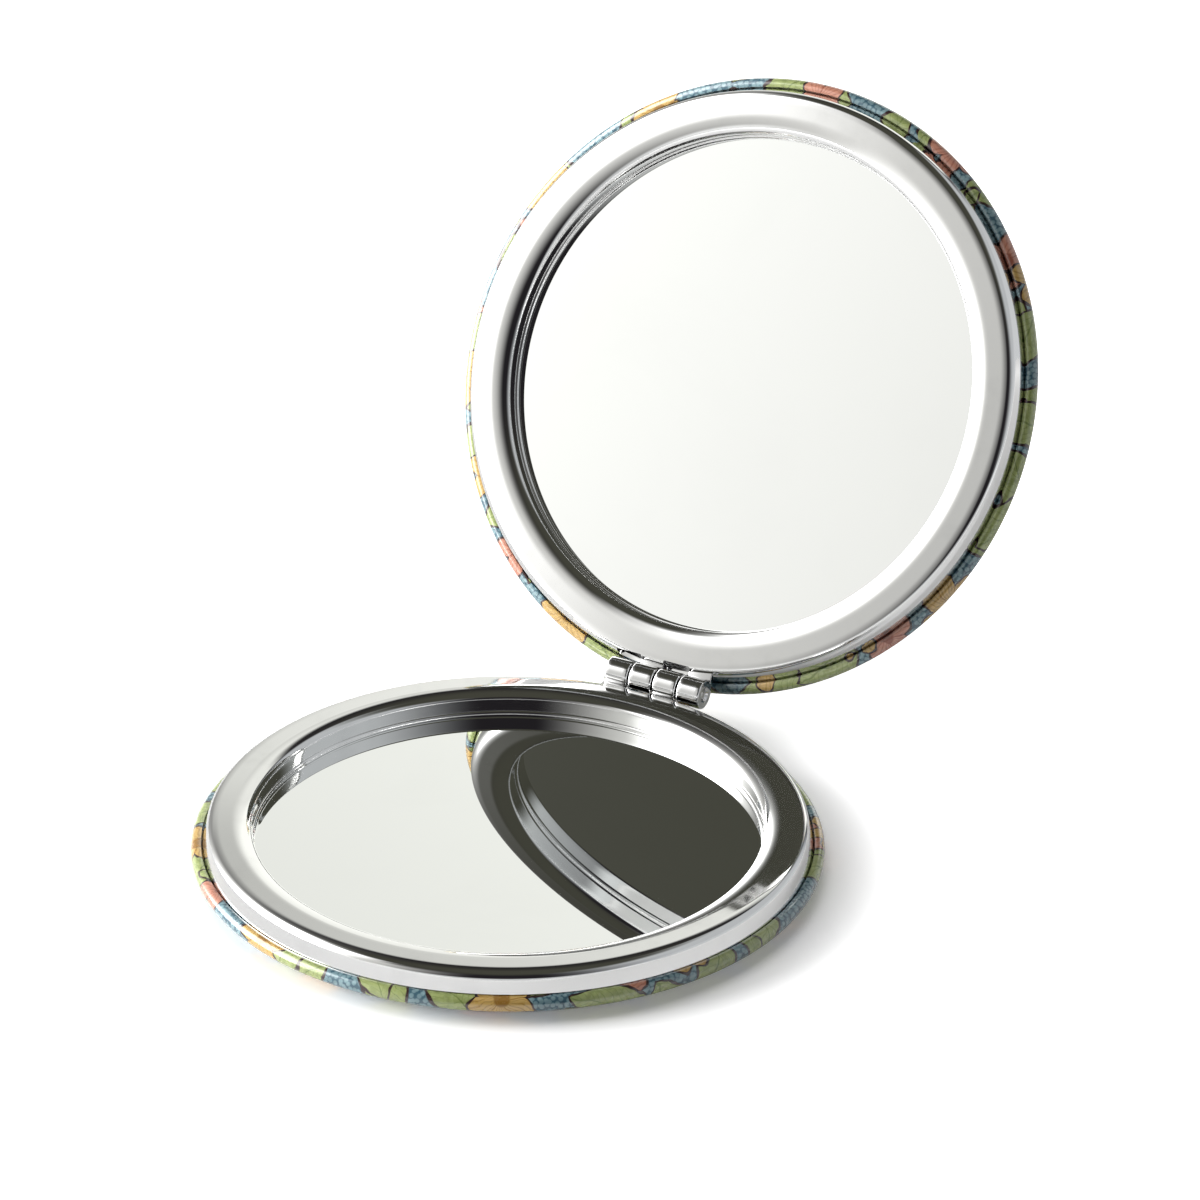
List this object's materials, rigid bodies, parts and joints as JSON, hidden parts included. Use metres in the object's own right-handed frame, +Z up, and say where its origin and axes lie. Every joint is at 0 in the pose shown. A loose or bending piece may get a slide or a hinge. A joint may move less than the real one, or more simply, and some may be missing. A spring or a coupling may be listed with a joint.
{
  "type": "compact mirror",
  "caption": "Round folding pocket mirror: two chromed frames with recessed glass, rolled printed covers and a knuckle hinge, standing open.",
  "frame": {"origin": "centre of the resting flat on the underside of the lower half, on the table", "axes": "+Z up out of the table, +Y from the front of the lower half towards the hinge, +X along the hinge barrel"},
  "size_m": [0.07, 0.1105, 0.0633],
  "materials": {
    "frame_chrome": "polished chrome plate",
    "hinge_chrome": "polished chrome plate",
    "pin_steel": "satin",
    "silvered_glass": "silvered",
    "printed_skin": "glossy printed film",
    "tinplate": "bare tinplate",
    "foam": "fine foam",
    "tape": "matte",
    "magnet": "nickel plate"
  },
  "bodies": {
    "base": {"base_frame": "frame_chrome", "base_back_pan": "tinplate", "base_hinge_leaf": "hinge_chrome", "base_mirror": "silvered_glass", "base_mirror_tape": "tape", "base_magnet": "magnet", "base_cover_shell": "tinplate", "base_cover_pad": "foam", "base_cover_skin": "printed_skin", "base_cover_tape": "tape"},
    "lid": {"lid_frame": "frame_chrome", "lid_back_pan": "tinplate", "lid_hinge_leaf": "hinge_chrome", "lid_mirror": "silvered_glass", "lid_mirror_tape": "tape", "lid_magnet": "magnet", "lid_cover_shell": "tinplate", "lid_cover_pad": "foam", "lid_cover_skin": "printed_skin", "lid_cover_tape": "tape", "hinge_pin": "pin_steel"}
  },
  "joints": [
    {"name": "lid_hinge", "type": "hinge", "parent": "base", "child": "lid", "pos_m": [0, 0.03497, 0.0057], "axis": [-1, 0, 0], "range_deg": [-122, 50]}
  ]
}
